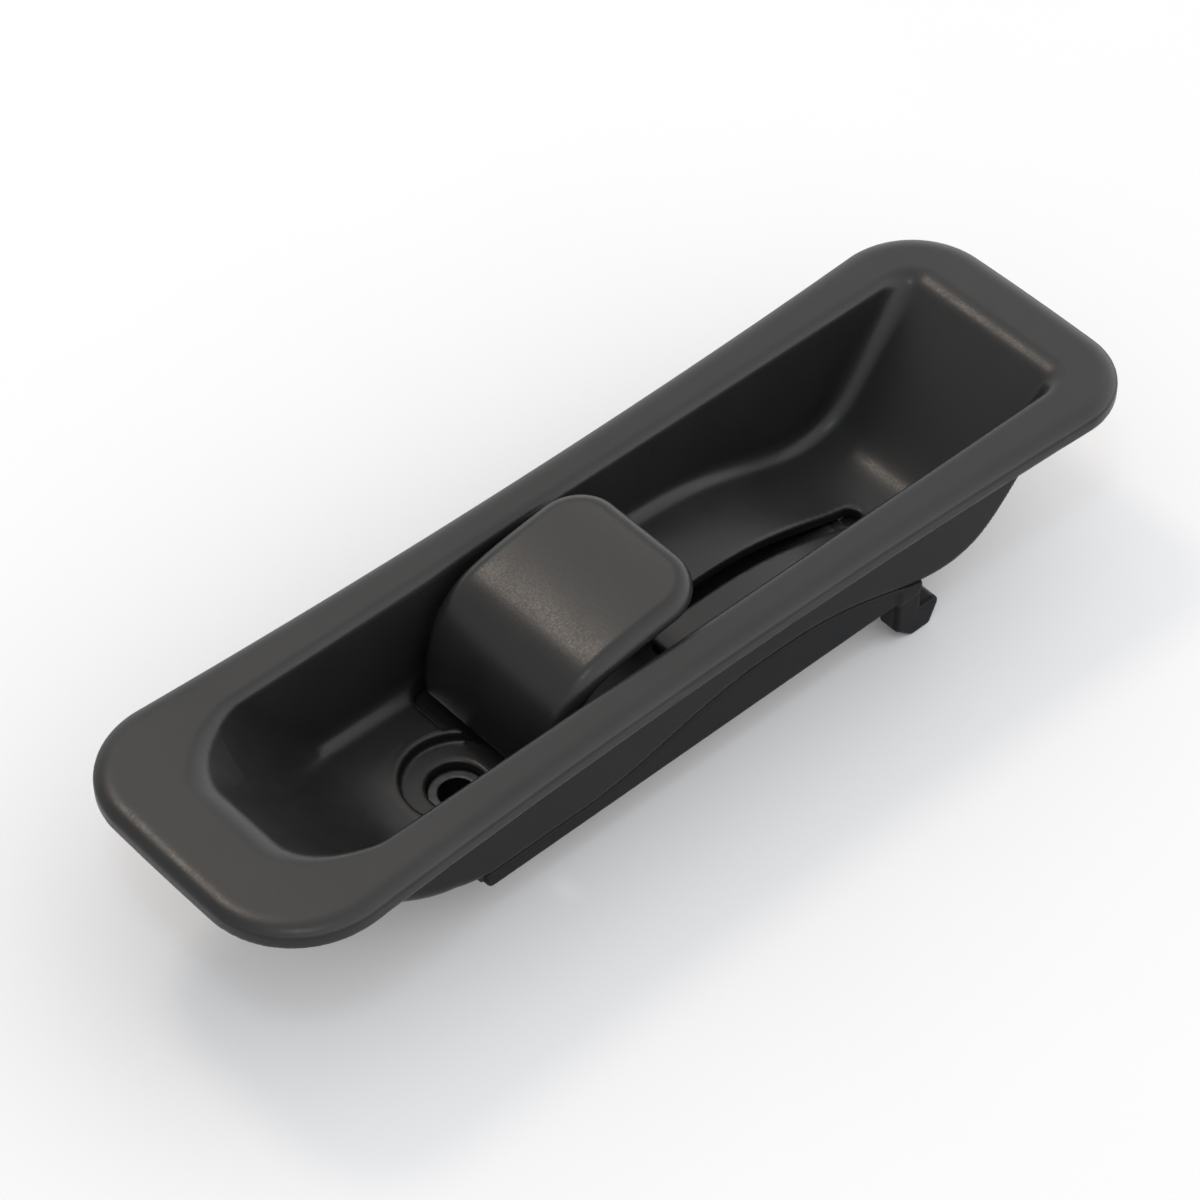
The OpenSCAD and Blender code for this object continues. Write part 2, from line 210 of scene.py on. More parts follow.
FLOOR_CURVE = np.concatenate([
    [(-90, 8.6)],
    bezier([(-80.5, 0), (-75, -5), (-62, FLOOR_LEFT), (-50, FLOOR_LEFT)], 60),
    bezier([(-27, FLOOR_LEFT), (-14, FLOOR_LEFT), (-3, FLOOR_HUMP), (13, FLOOR_HUMP)], 60),
    bezier([(16, FLOOR_HUMP), (37, FLOOR_HUMP), (45, FLOOR_RIGHT), (56, FLOOR_RIGHT)], 60),
    bezier([(56.1, FLOOR_RIGHT), (65, FLOOR_RIGHT), (66, -18.5), (83.5, 0)], 60),
    [(93, 10)]])
FLOOR_STEP = 0.1
FLOOR_X = np.arange(-92, 94, FLOOR_STEP)


def softened_floor():
    """The floor's height along the tub, with its corners eased over a few millimetres."""
    reach = np.arange(-4, 4 + FLOOR_STEP, FLOOR_STEP)
    weight = np.exp(-(reach / 1.3) ** 2)
    height = np.interp(FLOOR_X, FLOOR_CURVE[:, 0], FLOOR_CURVE[:, 1])
    padded = np.pad(height, len(reach) // 2, mode="reflect", reflect_type="odd")
    return np.convolve(padded, weight / weight.sum(), mode="valid")[: len(FLOOR_X)]


FLOOR_HEIGHT = softened_floor()
FLOOR_FLATNESS = 1 / np.hypot(1, np.gradient(FLOOR_HEIGHT, FLOOR_STEP))
# The fillet along the side walls opens out into a larger corner radius up the end walls.
CORNER_SHARE = np.clip((1 - FLOOR_FLATNESS) / 0.28, 0, 1) * np.interp(
    FLOOR_X, (-54, -50, 57, 61), (1, 0, 0, 1))
CORNER_ROUND = FLOOR_FILLET + CORNER_SHARE * (
    np.where(FLOOR_X < 0, LEFT_CORNER, RIGHT_CORNER) - FLOOR_FILLET)


def under_floor(x, z):
    """Distance below the tub's inner floor and end walls."""
    return (np.interp(x, FLOOR_X, FLOOR_HEIGHT) - z) * np.interp(x, FLOOR_X, FLOOR_FLATNESS)


def flange_plan(x, y, inset=0):
    long_side = FLANGE_HALF_WIDTH - WAIST * (1 - (x / FLANGE_HALF_LENGTH) ** 2)
    end = FLANGE_HALF_LENGTH - END_BOW * (y / FLANGE_HALF_WIDTH) ** 2
    near_corner = np.where(x > 0, NEAR_RIGHT_CORNER, NEAR_LEFT_CORNER)
    corner = np.where(y < 0, near_corner, FAR_CORNER)
    return rounded_max(abs(y) - long_side, abs(x) - end, corner) + inset


def tub_outside(x, y, z):
    """The tub's outer walls, whose lower edge is softer beyond the end of the frame."""
    edge = np.interp(x, (-54, -47), (3.2, 0.7))
    return rounded_max(abs(y) - OUTER_HALF, under_floor(x, z) - FLOOR_T, edge)


def tub_hollow(x, y, z):
    sides = abs(y) - TUB_HALF - TUB_DRAFT * z
    return rounded_max(sides, under_floor(x, z), np.interp(x, FLOOR_X, CORNER_ROUND))


def floor_openings(x, y, z):
    window = rounded_rect(x, y, WINDOW_X, WINDOW_HALF, 4)
    slot = np.maximum(abs(y - SLOT_Y) - SLOT_HALF, x - SLOT_END + SLOT_HALF)
    slot = np.minimum(slot, np.hypot(x - SLOT_END + SLOT_HALF, y - SLOT_Y) - SLOT_HALF)
    slot = np.maximum(slot, WINDOW_X[0] + 20 - x)
    return np.maximum(rounded_min(window, slot, 1.5), z + 12)


def screw_boss(p):
    """The stepped recess for the fixing screw and the column under it."""
    ring = bar(p, 2, SCREW, RECESS_R + 0.8, (SEAT_Z - 2.4, RECESS_Z))
    wall = rounded_max(bar(p, 2, SCREW, RECESS_R + 1.2, (SEAT_Z, FLOOR_LEFT)), p[0] - BOSS_END, 0.3)
    column = bar(p, 2, SCREW, COLUMN_R, (STAND, SEAT_Z), 0.4)
    solid = rounded_min(np.minimum(ring, wall), column, 0.8)
    solid = cut(solid, bar(p, 2, SCREW, RECESS_R, (RECESS_Z, 0), 0.6), 0.35)
    solid = cut(solid, bar(p, 2, SCREW, SEAT_R, (SEAT_Z, 0)), 0.45)
    return cut(solid, bar(p, 2, SCREW, COLUMN_BORE, (STAND - 2, 0)))


def bezel_tub(p):
    x, y, z = p
    plate = rounded_max(flange_plan(x, y), z * CROWN_W / CROWN_H, CROWN_W)
    plate = rounded_max(plate, -LIP_DROP - z, 0.6)
    plate = cut(plate, np.maximum(flange_plan(x, y, LIP_T), z + FLANGE_T), 0.3)
    shell = np.maximum(tub_outside(x, y, z), z + 1)
    for screw in FRAME_SCREWS:
        shell = np.minimum(shell, bar(p, 2, screw, 3.4, (BRIDGE_Z[1], BRIDGE_Z[1] + 8)))
    body = rounded_min(plate, shell, 0.8)
    # The mouth opens out at the flange's face, which rounds its rim.
    mouth = rounded_min(tub_hollow(x, y, z), -z, RIM_ROUND)
    body = np.maximum(body, -mouth)
    body = cut(body, floor_openings(x, y, z), 0.5)
    body = cut(body, bar(p, 2, SCREW, RECESS_R, (-30, 0)), 0.35)
    for side in (-1, 1):
        ends = sorted((side * BOSS_FACE, side * TUB_HALF))
        body = rounded_min(body, bar(p, 1, PIVOT, BOSS_R, ends), 0.4)
    body = cut(body, bar(p, 1, PIVOT, PIN_R + FIT, (-19.3, 30), 0.1), 0.1)
    for screw in FRAME_SCREWS:
        body = cut(body, bar(p, 2, screw, PILOT_R, (BRIDGE_Z[1] - 1, BRIDGE_Z[1] + 4.2), 0.1))
    return rounded_min(body, screw_boss(p), 0.2)


# ---------------------------------------------------------------- frame under the tub

def frame_side(p, side):
    x, y, z = p
    skirt = soft_polygon(x, z, [(SKIRT_X[0], SKIRT_Z), (SKIRT_X[1], SKIRT_Z), (SKIRT_X[1], -14),
                                (SKIRT_X[0], -14)], 1.6)
    skirt = rounded_max(skirt, slab(y * side, (TUB_HALF, OUTER_HALF)), 0.3)
    hook = soft_polygon(x, z, [(44.3, -24), (44.3, -34.2), (48, STAND), (52.4, STAND),
                               (54.2, -33.4), (54.2, -31.9), (49.8, -31.9), (49.8, -24)], 0.8)
    hook = rounded_max(hook, slab(y * side, (15.7, OUTER_HALF)), 0.6)
    return rounded_min(skirt, hook, 1.0)


def side_frame(p):
    x, y, z = p
    sides = np.minimum(frame_side(p, -1), frame_side(p, 1))
    left, right = SKIRT_X
    across = (-TUB_HALF, TUB_HALF)
    bridges = [
        # The wall at the screw's end, and its lower half that carries the cable's anchor.
        block(p, (left, left + 2.5), across, (SKIRT_Z, -24)),
        block(p, (left, left + 2.5), (1, 15), (STAND + 1, SKIRT_Z + 1)),
        # The floor: over the screws, between the hooks and under the lever.
        block(p, (8, 47), across, BRIDGE_Z),
        block(p, (46, right), across, (SKIRT_Z, -25.2)),
        block(p, (-32, 9), across, (SKIRT_Z, -25)),
        # A tongue that closes the end of the tub's slot.
        block(p, (46, SLOT_END + 1), (SLOT_Y - 3, SLOT_Y + 3), (SKIRT_Z, -26)),
        # The post for the spring's lower leg, and the blocks behind the two stops.
        block(p, (PIVOT[0] - 0.38, PIVOT[0] + 2.6), (1.8, FORK_GAP[0]), (SKIRT_Z, -23.2)),
        block(p, (-30, -27.7), (STOP_Y[0], TUB_HALF), (-35.4, -25.3)),
        block(p, (-8.8, -6.2), (4.4, TUB_HALF), (-33, -23))]
    solid = sides
    for bridge in bridges:
        solid = rounded_min(solid, bridge, 0.6)
    seam = np.maximum(under_floor(x, z) - FLOOR_T - 0.05, TUB_HALF - abs(y))
    solid = cut(solid, seam, 0.25)
    solid = cut(solid, block(p, (-27.7, -8.8), FORK_GAP, (-30, -20)), 0.3)
    for screw in FRAME_SCREWS:
        solid = cut(solid, bar(p, 2, screw, 1.7, (-30, -22), 0.1), 0.2)
    solid = cut(solid, bar(p, 2, SCREW, RECESS_R + 1.2, (-29, -19)), 0.2)
    slot = (BARREL_Y - WIRE_SLOT, BARREL_Y + WIRE_SLOT)
    slot = np.minimum(bar(p, 0, (BARREL_Y, BARREL[1]), WIRE_SLOT, (left - 1, left + 4)),
                      block(p, (left - 1, left + 4), slot, (STAND - 1, BARREL[1])))
    solid = cut(solid, slot, 0.25)
    return cut(solid, bar(p, 0, ANCHOR_SCREW, 0.9, (left - 1, left + 4)), 0.1)


def cable_anchor(p):
    front, back = span("cable_anchor", 0)
    cable = (BARREL_Y, BARREL[1])
    solid = block(p, (front + 1.5, back), (0.5, 13.5), (STAND, -28.8), 0.6)
    solid = rounded_min(solid, bar(p, 0, cable, 4.2, (front, front + 2), 0.4), 0.5)
    solid = cut(solid, bar(p, 0, cable, 2.6, (front - 1, front + 5)), 0.3)
    solid = cut(solid, bar(p, 0, cable, 1.2, (front - 1, back + 1)), 0.15)
    return cut(solid, bar(p, 0, ANCHOR_SCREW, 1.3, (front - 1, back + 1)), 0.15)


# ---------------------------------------------------------------- paddle

SKIN = np.concatenate([
    bezier([(-31.4, PADDLE_FOOT), (-31.4, -10.2), (-28.6, -1.6), (-20, 1)], 70),
    bezier([(-20, 1), (-12.4, 3.3), (-3.2, 3.6), (PADDLE_END, 5.4)], 50)[1:]])
SKIN_SOLID = [(-31.4, -60)] + [tuple(q) for q in SKIN] + [(30, 11.3), (30, -60)]


def below_skin(x, z):
    """Signed distance from the paddle's outer face, negative under it."""
    return polygon(x, z, SKIN_SOLID)


def paddle_plan(x, y):
    return rounded_rect(x, y, (-45, PADDLE_END), PADDLE_HALF, 8.5)


def paddle_cover(p):
    x, y, z = p
    skin, plan = below_skin(x, z), paddle_plan(x, y)
    outer = rounded_max(skin, plan, COVER_ROUND)
    inner = rounded_max(skin + COVER_T, plan + 1.8, 2.4)
    shell = cut(outer, inner, 0.4)
    shell = rounded_max(shell, -skin - COVER_RIM, 0.4)
    shell = rounded_max(shell, PADDLE_FOOT - z, 0.8)
    for screw in COVER_SCREWS:
        boss = bar(p, 2, (screw[0], 0), 1.05, (screw[1] - 3, screw[1] + 4.3), 0.1)
        shell = cut(shell, boss, 0.1)
    return shell


def paddle_lever(p):
    x, y, z = p
    skin = below_skin(x, z)
    backing = slab(skin, (-COVER_T - 1.85, -COVER_T - 0.05))
    backing = rounded_max(backing, rounded_rect(x, y, (-45, 1.8), 12.8, 6), 0.4)
    backing = rounded_max(backing, PADDLE_FOOT + 0.6 - z, 0.4)
    webs = polygon(x, z, [(-27.6, -20), (-24, -21.4), (-20, -18), (-18.5, -13), (-12, -5),
                          (0.5, -0.2), (-5, 3), (-20, 0), (-27, -6), (-30, -15)])
    webs = np.maximum(webs, skin + COVER_T + 0.6)
    solid = backing
    for side in (-1, 1):
        web = rounded_max(webs, slab(y, (side * 9.5 - 1, side * 9.5 + 1)), 0.4)
        solid = rounded_min(solid, web, 0.8)
        hub = sorted((side * HUB_Y[0], side * HUB_Y[1]))
        solid = rounded_min(solid, bar(p, 1, PIVOT, HUB_R, hub, 0.3), 0.5)
    arm = polygon(x, z, [(PIVOT[0] - 3.4, PIVOT[1]), (BARREL[0] - 3.2, BARREL[1] + 1.5),
                         (BARREL[0] + 3.2, BARREL[1] + 1.5), (PIVOT[0] + 3.9, PIVOT[1])])
    arm = np.minimum(arm, np.hypot(x - BARREL[0], z - BARREL[1]) - ARM_END_R)
    for ends in (ARM_Y[:2], ARM_Y[2:]):
        solid = rounded_min(solid, rounded_max(arm, slab(y, ends), 0.4), 0.4)
    rib = block(p, (-23.3, -21.3), (-4.6, 4.6), (-11.4, -3), 0.4)
    solid = rounded_min(solid, np.maximum(rib, skin + COVER_T + 0.6), 0.5)
    for screw in COVER_SCREWS:
        pad = bar(p, 2, (screw[0], 0), 2.4, (screw[1], screw[1] + 2.4), 0.2)
        solid = rounded_min(solid, pad, 0.3)
    solid = cut(solid, bar(p, 1, PIVOT, 6, (-HUB_Y[0], HUB_Y[0])), 0.2)
    solid = cut(solid, bar(p, 1, PIVOT, BUSH_R, (-30, 30)), 0.2)
    solid = cut(solid, bar(p, 1, BARREL, BARREL_R + FIT, (-30, 30)), 0.2)
    for screw in COVER_SCREWS:
        solid = cut(solid, bar(p, 2, (screw[0], 0), 1.05, (screw[1] - 4, screw[1] + 6)), 0.1)
    return solid


# ---------------------------------------------------------------- small parts

def screw(p, axis, at, head_at, shank_r, head_r, head_t, length, up):
    """A pan-head screw with a cross in its head; up is the way that its shank points."""
    along = (p[axis] - head_at) * up
    u, v = (p[i] for i in range(3) if i != axis)
    q = (u - at[0], v - at[1], along)
    head = bar(q, 2, (0, 0), head_r, (-head_t, 0), 0.15)
    dome = np.sqrt(q[0] ** 2 + q[1] ** 2 + (along - head_r * 1.2) ** 2) - head_r * 1.2 - head_t
    head = rounded_max(head, dome, 0.25)
    depth = (-head_t - 1, -head_t + head_t * 0.62)
    wide, thin = head_r * 0.62, head_r * 0.13
    cross = np.minimum(block(q, (-wide, wide), (-thin, thin), depth, 0.05),
                       block(q, (-thin, thin), (-wide, wide), depth, 0.05))
    head = cut(head, cross, 0.08)
    shank = bar(q, 2, (0, 0), shank_r, (-0.5, length), 0.3)
    return rounded_min(head, shank, 0.15)


def frame_screws(p):
    heads = [screw(p, 2, at, BRIDGE_Z[0], 1.05, 2.9, 1.6, 5, 1) for at in FRAME_SCREWS]
    return np.minimum.reduce(np.broadcast_arrays(*heads))


def cover_screws(p):
    return np.minimum(*[screw(p, 2, (at[0], 0), at[1], 1, 2.3, 1.4, 4, 1) for at in COVER_SCREWS])


def anchor_screw(p):
    return screw(p, 0, ANCHOR_SCREW, span("cable_anchor", 0)[0] + 1.5, 0.88, 1.8, 1.2, 7.2, 1)


def fixing_sleeve(p):
    tube = bar(p, 2, SCREW, COLUMN_BORE - 0.02, (STAND, SEAT_Z + 0.4), 0.2)
    seat = bar(p, 2, SCREW, SEAT_R - 0.1, (SEAT_Z, SEAT_Z + 0.8), 0.25)
    return cut(np.minimum(tube, seat), bar(p, 2, SCREW, SCREW_BORE, (STAND - 1, 0)), 0.25)


def pivot_pin(p):
    low, high = span("pivot_pin", 1)
    shaft = bar(p, 1, PIVOT, PIN_R, (low, high - 1), 0.3)
    head = bar(p, 1, PIVOT, 3.2, (high - 1.2, high), 0.35)
    slot = (CLIP_Y[0] - FIT, CLIP_Y[1] + FIT)
    groove = np.maximum(bar(p, 1, PIVOT, 5, slot, 0.05), -bar(p, 1, PIVOT, 1.5, (10, 20)))
    return cut(np.minimum(shaft, head), groove, 0.05)


def pin_clip(p):
    x, y, z = p
    ring = bar(p, 1, PIVOT, 3.9, CLIP_Y, 0.12)
    ring = cut(ring, bar(p, 1, PIVOT, 1.52, (10, 20)), 0.1)
    mouth = block(p, (PIVOT[0] - 1.24, PIVOT[0] + 1.24), (10, 20), (PIVOT[1] - 8, PIVOT[1]), 0.3)
    lobes = np.minimum(np.hypot(x - PIVOT[0] - 2.7, z - PIVOT[1] + 0.9) - 0.55,
                       np.hypot(x - PIVOT[0] + 2.7, z - PIVOT[1] + 0.9) - 0.55)
    return cut(cut(ring, mouth, 0.2), np.maximum(lobes, slab(y, (10, 20))), 0.1)


def bush(p, side):
    sleeve = bar(p, 1, PIVOT, 2.98, sorted((side * (HUB_Y[0] + 0.8), side * HUB_Y[1])), 0.15)
    collar = bar(p, 1, PIVOT, 3.9, sorted((side * HUB_Y[1], side * (HUB_Y[1] + 0.9))), 0.2)
    return cut(np.minimum(sleeve, collar), bar(p, 1, PIVOT, PIN_R + FIT, (-30, 30)), 0.12)


def spring_sleeve(p):
    tube = bar(p, 1, PIVOT, 3.3, span("spring_sleeve", 1), 0.25)
    return cut(tube, bar(p, 1, PIVOT, 2.1, (-30, 30)), 0.15)


def cable_barrel(p):
    solid = bar(p, 1, BARREL, BARREL_R, span("cable_barrel", 1), 0.3)
    return cut(solid, bar(p, 0, (BARREL_Y, BARREL[1]), 0.8, (-40, 0)), 0.15)


def stop_pad(node, face):
    """A rubber block with two grooves across the end that the lever lands on."""
    sides = [span(node, axis) for axis in range(3)]

    def shape(p):
        pad = block(p, *sides, 0.4)
        for share in (0.35, 0.65):
            z = sides[2][0] + share * (sides[2][1] - sides[2][0])
            pad = cut(pad, bar(p, 1, (sides[0][face], z), 0.35, (0, 20)), 0.15)
        return pad
    return shape


def rattle_pads(p):
    y, z = span("rattle_pads", 1), span("rattle_pads", 2)
    return np.minimum(block(p, (-29, -11), y, z, 0.7), block(p, (21, 39), y, z, 0.7))


def trim_gasket(p):
    x, y, _ = p
    ring = rounded_max(flange_plan(x, y, LIP_T + 0.8), slab(p[2], span("trim_gasket", 2)), 0.35)
    opening = rounded_rect(x, y, (-87, 89), OUTER_HALF + 0.3, 9.8)
    return cut(ring, opening, 0.35)


# ---------------------------------------------------------------- meshes

CORNERS = np.array(list(itertools.product((0, 1), repeat=3)))
CELL_EDGES = [(a, b) for a, b in itertools.combinations(range(8), 2)
              if abs(CORNERS[a] - CORNERS[b]).sum() == 1]


def surface_cells(values):
    """One point for each grid cell that the surface crosses, and the quads that join them."""
    inside = values < 0
    corner_slices = [tuple(slice(c, s - 1 + c) for c, s in zip(corner, values.shape))
                     for corner in CORNERS]
    count = sum(inside[s].astype(np.int8) for s in corner_slices)
    crossed = (count > 0) & (count < 8)
    index = np.full(crossed.shape, -1, np.int64)
    index[crossed] = np.arange(crossed.sum())
    corner_values = np.stack([values[s][crossed] for s in corner_slices], 1)
    total, hits = np.zeros((len(corner_values), 3)), np.zeros((len(corner_values), 1))
    for a, b in CELL_EDGES:
        va, vb = corner_values[:, a], corner_values[:, b]
        crosses = (va < 0) != (vb < 0)
        share = np.where(crosses, va / np.where(crosses, va - vb, 1), 0)[:, None]
        total += (CORNERS[a] + share * (CORNERS[b] - CORNERS[a])) * crosses[:, None]
        hits += crosses[:, None]
    points = np.argwhere(crossed) + total / hits
    quads = []
    for axis in range(3):
        u, v = (axis + 1) % 3, (axis + 2) % 3
        low, high = [slice(None)] * 3, [slice(None)] * 3
        low[axis], high[axis] = slice(0, -1), slice(1, None)
        starts, ends = inside[tuple(low)], inside[tuple(high)]
        at = np.argwhere(starts != ends)
        at = at[(at[:, u] > 0) & (at[:, v] > 0)]
        ring = []
        for du, dv in ((1, 1), (0, 1), (0, 0), (1, 0)):
            cell = at.copy()
            cell[:, u] -= du
            cell[:, v] -= dv
            ring.append(index[tuple(cell.T)])
        quad = np.stack(ring, 1)
        outward = starts[tuple(at.T)]
        quads.append(np.where(outward[:, None], quad, quad[:, ::-1]))
    return points, np.concatenate(quads)


def gradient(shape, points):
    step = 0.01
    parts = []
    for axis in range(3):
        move = np.eye(3)[axis] * step
        ahead, behind = shape(tuple((points + move).T)), shape(tuple((points - move).T))
        parts.append((ahead - behind) / (2 * step))
    return np.stack(parts, 1)


def onto_surface(shape, points, cell, rounds=4):
    """Points moved along the distance's slope until they lie on the surface."""
    for _ in range(rounds):
        slope = gradient(shape, points)
        steep = np.maximum((slope ** 2).sum(1), 0.05)
        step = (shape(tuple(points.T)) / steep)[:, None] * slope
        points = points - np.clip(step, -cell / 2, cell / 2)
    return points


# Cells of air around a shape's box. The odd share keeps flat faces off the grid's planes.
MARGIN = 2.37


def mesh_of(name, shape, low, high, cell):
    """A closed quad mesh of a shape inside a box."""
    low = np.array(low) - MARGIN * cell
    sizes = [np.arange(low[i], high[i] + MARGIN * cell, cell) for i in range(3)]
    grid = np.meshgrid(*sizes, indexing="ij", sparse=True)
    values = np.broadcast_to(shape(tuple(grid)), tuple(len(s) for s in sizes)).copy()
    for axis in range(3):
        for face in (0, -1):
            wall = [slice(None)] * 3
            wall[axis] = face
            values[tuple(wall)] = np.maximum(values[tuple(wall)], cell / 2)
    points, quads = surface_cells(values)
    points = onto_surface(shape, low + points * cell, cell)
    mesh = bpy.data.meshes.new(name)
    mesh.vertices.add(len(points))
    mesh.vertices.foreach_set("co", ((points + [0, 0, FACE]) * MM).astype(np.float32).ravel())
    mesh.loops.add(quads.size)
    mesh.loops.foreach_set("vertex_index", quads.astype(np.int32).ravel())
    mesh.polygons.add(len(quads))
    mesh.polygons.foreach_set("loop_start", np.arange(0, quads.size, 4, dtype=np.int32))
    mesh.update(calc_edges=True)
    mesh.validate()
    mesh.shade_smooth()
    return mesh


BODY_OF = {node: body for body, nodes in frame["record"]["behaviour"]["bodies"].items()
           for node in nodes}
SLOT_OF = {part["node"]: part["material_slot"] for part in frame["record"]["subparts"]}


def add_piece(node, mesh, material):
    piece = bpy.data.objects.new(node + "_piece", mesh)
    bpy.context.scene.collection.objects.link(piece)
    mesh.materials.append(material)
    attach(piece, BODY_OF[node])
    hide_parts(node)
    return piece


def moulded(node, shape, cell, material):
    """A finished piece that stands for a CAD node and fills the same box."""
    low, high = (in_face_frame(corner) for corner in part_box(node))
    return add_piece(node, mesh_of(node + "_piece", shape, low, high, cell), material)


def spring_wire():
    """The torsion spring as one round wire: a leg up, the coil, a leg down."""
    start, turns, coil_r, pitch, wire_r = math.radians(140), 5, 4.1, 1.55, 0.6
    sweep = turns * math.tau + math.radians(68)
    steps = turns * 36
    angles = [start + sweep * i / steps for i in range(steps + 1)]
    coil = [Vector((PIVOT[0] + coil_r * math.cos(a), pitch * turns * (i / steps - 0.5),
                    PIVOT[1] + coil_r * math.sin(a))) for i, a in enumerate(angles)]
    up = Vector((math.sin(start), 0, -math.cos(start)))
    down = Vector((-math.sin(angles[-1]), 0, math.cos(angles[-1])))
    path = [coil[0] + up * s for s in (7, 5.5, 4, 2.6, 1.3)] + coil
    path += [coil[-1] + down * s for s in (1.4, 2.8, 4.2, 5.6)]
    curve = bpy.data.curves.new("return_spring_piece", "CURVE")
    curve.dimensions = "3D"
    curve.bevel_depth = wire_r * MM
    curve.bevel_resolution = 3
    curve.use_fill_caps = True
    line = curve.splines.new("POLY")
    line.points.add(len(path) - 1)
    for spot, at in zip(line.points, path):
        spot.co = (at.x * MM, at.y * MM, (at.z + FACE) * MM, 1)
    holder = bpy.data.objects.new("spring_path", curve)
    bpy.context.scene.collection.objects.link(holder)
    mesh = bpy.data.meshes.new_from_object(holder)
    bpy.data.objects.remove(holder)
    mesh.materials.clear()
    mesh.shade_smooth()
    return mesh


# ---------------------------------------------------------------- materials

class Nodes:
    """A material's node tree, with short ways to add and join nodes."""

    def __init__(self, name):
        self.material = bpy.data.materials.new(name)
        self.material.use_nodes = True
        self.tree = self.material.node_tree
        self.shader = self.tree.nodes["Principled BSDF"]
        self.place = self.tree.nodes.new("ShaderNodeTexCoord").outputs["Object"]

    def add(self, kind, **sockets):
        node = self.tree.nodes.new(kind)
        for name, value in sockets.items():
            self.feed(node.inputs[name.replace("_", " ")], value)
        return node

    def feed(self, socket, value):
        if isinstance(value, bpy.types.NodeSocket):
            self.tree.links.new(value, socket)
        else:
            socket.default_value = value

    def noise(self, size_mm, detail=3.0, stretch=(1, 1, 1)):
        mapping = self.add("ShaderNodeMapping", Vector=self.place, Scale=stretch)
        return self.add("ShaderNodeTexNoise", Vector=mapping.outputs[0], Scale=1 / (size_mm * MM),
                        Detail=detail).outputs["Fac"]

    def cells(self, size_mm):
        return self.add("ShaderNodeTexVoronoi", Vector=self.place,
                        Scale=1 / (size_mm * MM)).outputs["Distance"]

    def between(self, value, low, high, to_low, to_high):
        node = self.add("ShaderNodeMapRange", Value=value)
        for i, number in enumerate((low, high, to_low, to_high)):
            node.inputs[i + 1].default_value = number
        return node.outputs[0]

    def mix(self, share, first, second):
        node = self.tree.nodes.new("ShaderNodeMix")
        node.data_type = "RGBA"
        self.feed(node.inputs["Factor"], share)
        self.feed(node.inputs["A"], first)
        self.feed(node.inputs["B"], second)
        return node.outputs["Result"]

    def bump(self, height, depth_mm, under=None):
        node = self.add("ShaderNodeBump", Height=height, Strength=1.0, Distance=depth_mm * MM)
        if under is not None:
            self.feed(node.inputs["Normal"], under)
        return node.outputs[0]

    def painted_shade_mask(self):
        """Painted shade: 1 on the tub's outer walls and on faces that look down, whose reflection
        is dimmed, 0 on the faces in view.
        """
        place = self.add("ShaderNodeSeparateXYZ", Vector=self.place)
        side = self.add("ShaderNodeMath", Value=place.outputs["Y"])
        side.operation = "ABSOLUTE"
        edge = TUB_HALF + 0.5, TUB_HALF + 0.9
        outside = self.between(side.outputs[0], edge[0] * MM, edge[1] * MM, 0, 1)
        below = self.between(place.outputs["Z"], (FACE - 3.6) * MM, (FACE - 4.6) * MM, 0, 1)
        wall = self.add("ShaderNodeMath")
        wall.operation = "MULTIPLY"
        self.feed(wall.inputs[0], outside)
        self.feed(wall.inputs[1], below)
        facing = self.add("ShaderNodeSeparateXYZ",
                          Vector=self.tree.nodes.new("ShaderNodeNewGeometry").outputs["Normal"])
        down = self.between(facing.outputs["Z"], -0.1, -0.4, 0, 1)
        either = self.add("ShaderNodeMath")
        either.operation = "MAXIMUM"
        self.feed(either.inputs[0], wall.outputs[0])
        self.feed(either.inputs[1], down)
        return either.outputs[0]

    def edges(self, low=0.54, high=0.62):
        """How sharp an outer edge is here, from 0 on a face to 1 on the edge."""
        geometry = self.tree.nodes.new("ShaderNodeNewGeometry")
        return self.between(geometry.outputs["Pointiness"], low, high, 0, 1)


def rgb(r, g, b):
    return (r, g, b, 1)


# Specular levels of the plastic's faces in view and of the outer walls and down-facing faces, which
# the trim hides; the second, lower level dims their reflection as painted shade.
GLOSS, PAINTED_SHADE_GLOSS = 0.24, 0.08


def plastic(name, colour, worn, rough, grain_mm, grain_depth, wear=0.5):
    """Moulded plastic: a fine eroded grain, slight mottling and edges polished by use.

    The outer walls and the faces that look down, which the trim hides, get a lower specular level:
    painted shade that dims their reflection.
    """
    n = Nodes(name)
    mottle = n.between(n.noise(14, 2), 0.3, 0.7, 0.0, 1.0)
    base = n.mix(mottle, colour, tuple(c * 1.18 for c in colour[:3]) + (1,))
    worn_edge = n.between(n.edges(), 0, 1, 0, wear)
    n.feed(n.shader.inputs["Base Color"], n.mix(worn_edge, base, worn))
    grain = n.noise(grain_mm, 2.5)
    patches = n.between(n.noise(7, 3), 0.3, 0.7, rough - 0.025, rough + 0.025)
    speckle = n.between(grain, 0.3, 0.7, -0.05, 0.05)
    summed = n.tree.nodes.new("ShaderNodeMath")
    n.feed(summed.inputs[0], patches)
    n.feed(summed.inputs[1], speckle)
    n.feed(n.shader.inputs["Roughness"], summed.outputs[0])
    coarse = n.bump(n.noise(grain_mm * 3.2, 2), grain_depth * 0.8)
    n.feed(n.shader.inputs["Normal"], n.bump(grain, grain_depth, coarse))
    n.shader.inputs["IOR"].default_value = 1.48
    # Painted shade: a lower specular level on the outer walls and on faces that look down dims
    # their reflection.
    n.feed(n.shader.inputs["Specular IOR Level"], n.between(n.painted_shade_mask(), 0, 1, GLOSS, PAINTED_SHADE_GLOSS))
    return n.material


